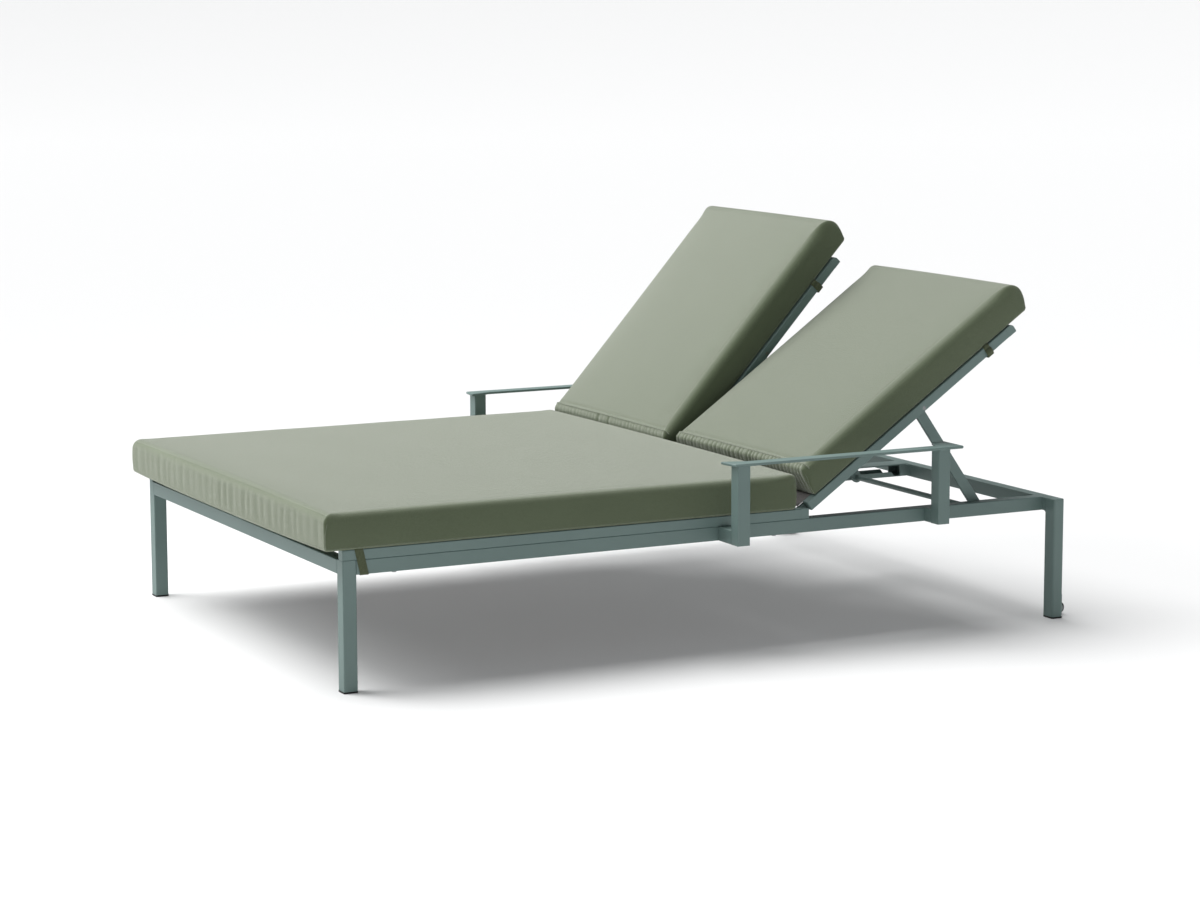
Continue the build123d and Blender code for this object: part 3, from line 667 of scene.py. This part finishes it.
def make_cushion(node, place, body, name, shape):
    """One cushion: a formed cover, filled, gathered and seamed, in place of its CAD solid."""
    low, high = local_box(node, place)
    low[0] -= shape["reach"]
    size = high - low - np.array([0, 2 * shape["bulge"], shape["crown"]])
    axes = [spaced(side, cell) for side, cell in zip(size, FILL_CELLS)]
    triples, number, quads = box_skin([len(axis) - 1 for axis in axes])
    flat = places_on(axes, triples)
    moved = np.zeros_like(flat)
    moved = fill_cushion(name + "_fill", cushion_form(flat, size, shape), quads, held_share(flat, size))
    axes = finer_axes(axes, shape["finer"])
    fine_triples, fine_number, quads = box_skin([len(axis) - 1 for axis in axes])
    flat = places_on(axes, fine_triples)
    points = cushion_form(flat, size, shape) + carried_over(moved, number, fine_triples, shape["finer"])
    points[:, 2] += UNEVENNESS * unevenness(flat, shape["seed"]) * (1 - held_share(flat, size))
    points[:, 2] = np.maximum(points[:, 2], 0)
    gather_end(points, flat, size, shape)
    points += low + np.array([0, shape["bulge"], 0])
    mesh = bpy.data.meshes.new(name)
    mesh.from_pydata(points.tolist(), [], quads.tolist())
    cover = new_piece(name, mesh, place, canvas)
    paint_sheen_by_facing(cover)
    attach(cover, body)
    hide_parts(node)
    sew_seams(cover, points, fine_number, axes, size, shape)


# Straps

def rounded_path(points, radius, steps=5):
    """The same path with each corner as an arc of short runs."""
    path = [points[0]]
    for before, corner, after in zip(points, points[1:], points[2:]):
        back, ahead = (before - corner).normalized(), (after - corner).normalized()
        opening = back.angle(ahead)
        reach = radius / math.tan(opening / 2)
        start, end = corner + back * reach, corner + ahead * reach
        centre = corner + (back + ahead).normalized() * radius / math.sin(opening / 2)
        for part in range(steps + 1):
            spoke = (start - centre).normalized().slerp((end - centre).normalized(), part / steps)
            path.append(centre + radius * spoke)
    path.append(points[-1])
    return path


def ribbon_mesh(name, path, across, width, thickness):
    """A flat band with rolled edges along a path."""
    shares = ((-0.5, 0.0), (-0.46, 0.5), (0.0, 0.56), (0.46, 0.5),
              (0.5, 0.0), (0.46, -0.5), (0.0, -0.44), (-0.46, -0.5))
    vertices, faces = [], []
    for index, point in enumerate(path):
        along = (path[min(index + 1, len(path) - 1)] - path[max(index - 1, 0)]).normalized()
        out = across.cross(along).normalized()
        for side, level in shares:
            vertices.append(point + across * side * width + out * level * thickness)
    count = len(shares)
    for index in range(len(path) - 1):
        for side in range(count):
            turn = (side + 1) % count
            faces.append((index * count + side, index * count + turn, (index + 1) * count + turn,
                          (index + 1) * count + side))
    faces.append(tuple(reversed(range(count))))
    faces.append(tuple(range((len(path) - 1) * count, len(path) * count)))
    mesh = bpy.data.meshes.new(name)
    mesh.from_pydata(vertices, [], faces)
    fixed = bmesh.new()
    fixed.from_mesh(mesh)
    bmesh.ops.recalc_face_normals(fixed, faces=fixed.faces)
    fixed.to_mesh(mesh)
    fixed.free()
    return mesh


def make_ribbon(name, points, width, place, body, node):
    """A band of webbing along a path, in place of its CAD solid."""
    path = rounded_path([Vector(point) for point in points], STRAP_BEND)
    mesh = ribbon_mesh(name, path, Vector((1, 0, 0)), width, STRAP_THICKNESS)
    piece = new_piece(name, mesh, place, webbing)
    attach(piece, body)
    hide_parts(node)


def seat_straps():
    """A strap on each side, from the cushion round both rails. Its outside slants as it goes down."""
    away = STRAP_GAP + STRAP_THICKNESS / 2
    low, high = local_box("seat_straps", world_place)
    top_x = low[0] + SEAT_STRAP_WIDTH / 2 + SEAT_STRAP_SHIFT
    low_x = high[0] - SEAT_STRAP_WIDTH / 2 + SEAT_STRAP_SHIFT
    top = local_box("seat_cushion", world_place)[0][2]
    for side, sign in zip(SIDES, (-1, 1)):
        rail_low, rail_high = local_box(f"side_rail_{side}", world_place)
        outside, inside = (rail_low[1], rail_high[1]) if sign < 0 else (rail_high[1], rail_low[1])
        outside, inside, under = outside + sign * away, inside - sign * away, rail_low[2] - away
        make_ribbon(f"seat_strap_{side}",
                    [(top_x, outside - sign * STRAP_TUCK, top + STRAP_TUCK), (top_x, outside, top),
                     (low_x, outside, under), (low_x, inside, under), (low_x, inside, top + STRAP_TUCK / 2)],
                    SEAT_STRAP_WIDTH, world_place, "base", "seat_straps")


def back_straps(side, side_sign):
    """Two straps on a back, each from the cushion round a tube, closed by a flap under the tube."""
    place, body, node = back_place(side), f"{side}_back", f"{side}_back_straps"
    away = STRAP_GAP + STRAP_THICKNESS / 2
    low, high = local_box(node, place)
    middle = (low[0] + high[0]) / 2
    bands = (("outer", side_sign, OUTER_FLAP_BULGE), ("inner", -side_sign, INNER_FLAP_BULGE))
    for tube, sign, bulge in bands:
        tube_low, tube_high = local_box(f"{side}_back_{tube}_tube", place)
        outside, inside = (tube_low[1], tube_high[1]) if sign < 0 else (tube_high[1], tube_low[1])
        outside, inside = outside + sign * away, inside - sign * away
        top, under = tube_high[2], tube_low[2] - away
        inside_top = high[2] - STRAP_INSIDE_DROP
        make_ribbon(f"{side}_back_strap_{tube}",
                    [(middle, outside - sign * STRAP_TUCK, top + STRAP_TUCK), (middle, outside, top),
                     (middle, outside, under), (middle, inside, under), (middle, inside, inside_top)],
                    BACK_STRAP_WIDTH, place, body, node)
        layer = STRAP_THICKNESS + STRAP_GAP
        make_ribbon(f"{side}_back_strap_flap_{tube}",
                    [(middle, outside + sign * layer, top - FLAP_INSET),
                     (middle, outside + sign * (layer + bulge), under + FLAP_INSET),
                     (middle, outside + sign * (layer - FLAP_TUCK), under - layer - FLAP_CORNER_DROP),
                     (middle, inside, under - layer - FLAP_END_DROP)],
                    BACK_STRAP_WIDTH + FLAP_WIDER, place, body, node)


# Slings

def sling_mesh(name, low, high, top):
    """A stretched sheet with a slight sag. The factor 16 makes the four shares' product 1 in its middle."""
    columns, rows = 80, 44
    flat = bmesh.new()
    grid = []
    for column in range(columns + 1):
        share = column / columns
        line = []
        for row in range(rows + 1):
            side = row / rows
            sag = SLING_SAG * 16 * share * (1 - share) * side * (1 - side)
            x, y = low[0] + share * (high[0] - low[0]), low[1] + side * (high[1] - low[1])
            line.append(flat.verts.new((x, y, top - SLING_THICKNESS / 2 - sag)))
        grid.append(line)
    for column in range(columns):
        for row in range(rows):
            flat.faces.new((grid[column][row], grid[column + 1][row], grid[column + 1][row + 1],
                            grid[column][row + 1]))
    mesh = bpy.data.meshes.new(name)
    flat.to_mesh(mesh)
    flat.free()
    return mesh


def make_sling(node, place, body, name, longer):
    """longer is how far the sheet goes past the CAD sling at its low-X end, round a cross tube."""
    low, high = local_box(node, place)
    low[0] -= longer
    piece = new_piece(name, sling_mesh(name, low, high, high[2]), place, sling_cloth)
    shell = piece.modifiers.new("cloth_thickness", "SOLIDIFY")
    shell.thickness = SLING_THICKNESS
    shell.offset = 0
    baked(piece)
    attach(piece, body)
    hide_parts(node)


# Stage, lights and camera

def make_floor():
    """A pale round floor that curves up far outside the view, on every side."""
    rings = [(0, 0.0), (FLOOR_RADIUS * 0.5, 0.0), (FLOOR_RADIUS, 0.0)]
    for part in range(1, FLOOR_RIM_STEPS + 1):
        angle = math.pi / 4 * part / FLOOR_RIM_STEPS
        rings.append((FLOOR_RADIUS + FLOOR_RIM * math.sin(angle), FLOOR_RIM * (1 - math.cos(angle))))
    sides = 96
    vertices, faces = [], []
    for radius, height in rings:
        for side in range(sides):
            angle = 2 * math.pi * side / sides
            vertices.append((radius * math.cos(angle), radius * math.sin(angle), height))
    for ring in range(len(rings) - 1):
        for side in range(sides):
            turn = (side + 1) % sides
            faces.append((ring * sides + side, (ring + 1) * sides + side, (ring + 1) * sides + turn,
                          ring * sides + turn))
    mesh = bpy.data.meshes.new("floor")
    mesh.from_pydata(vertices, [], faces)
    new_piece("floor", mesh, Matrix.Identity(4), floor_material())


def place_light(lamp, place, direction):
    light = bpy.data.objects.new(lamp.name, lamp)
    light.matrix_world = Matrix.Translation(place) @ direction.to_track_quat("-Z", "Y").to_matrix().to_4x4()
    bpy.context.scene.collection.objects.link(light)


def make_lights():
    """A wide key from above, a softbox over the foot end and a dim sky."""
    key = bpy.data.lights.new("key", "SUN")
    key.energy = KEY_STRENGTH
    key.angle = KEY_SOFTNESS
    place_light(key, KEY_PLACE, Vector(KEY_DIRECTION))
    softbox = bpy.data.lights.new("softbox", "AREA")
    softbox.energy = SOFTBOX_POWER
    softbox.size = SOFTBOX_SIZE
    place_light(softbox, SOFTBOX_PLACE, Vector(SOFTBOX_AIM) - Vector(SOFTBOX_PLACE))
    world = bpy.data.worlds.new("studio")
    world.use_nodes = True
    world.node_tree.nodes["Background"].inputs["Color"].default_value = SKY_COLOUR
    world.node_tree.nodes["Background"].inputs["Strength"].default_value = SKY_STRENGTH
    bpy.context.scene.world = world
    bpy.context.scene.view_settings.view_transform = "Standard"


def make_camera():
    lens = bpy.data.cameras.new("photo_camera")
    lens.sensor_width = CAMERA_SENSOR
    lens.lens = CAMERA_LENS
    lens.clip_end = 200.0
    camera = bpy.data.objects.new("photo_camera", lens)
    turns = ((-CAMERA_TURN, "Z"), (90 - CAMERA_DIP, "X"), (CAMERA_ROLL, "Z"))
    camera.matrix_world = Matrix.Translation(CAMERA_PLACE)
    for angle, axis in turns:
        camera.matrix_world = camera.matrix_world @ Matrix.Rotation(math.radians(angle), 4, axis)
    bpy.context.scene.collection.objects.link(camera)
    bpy.context.scene.camera = camera


# The lounger

dress_frame()
world_place = Matrix.Identity(4)
make_cushion("seat_cushion", world_place, "base", "seat_cushion_cover", SEAT_SHAPE)
for side, shape in zip(SIDES, (LEFT_BACK_SHAPE, RIGHT_BACK_SHAPE)):
    node = f"{side}_back_cushion"
    make_cushion(node, back_place(side), f"{side}_back", f"{node}_cover", shape)

seat_straps()
for side, sign in zip(SIDES, (-1, 1)):
    back_straps(side, sign)

for side in SIDES:
    make_sling(f"seat_sling_{side}", world_place, "base", f"seat_sling_cloth_{side}", 0.0)
    node = f"{side}_back_sling"
    make_sling(node, back_place(side), f"{side}_back", f"{node}_cloth", BACK_SLING_LONGER)

make_floor()
make_lights()
make_camera()
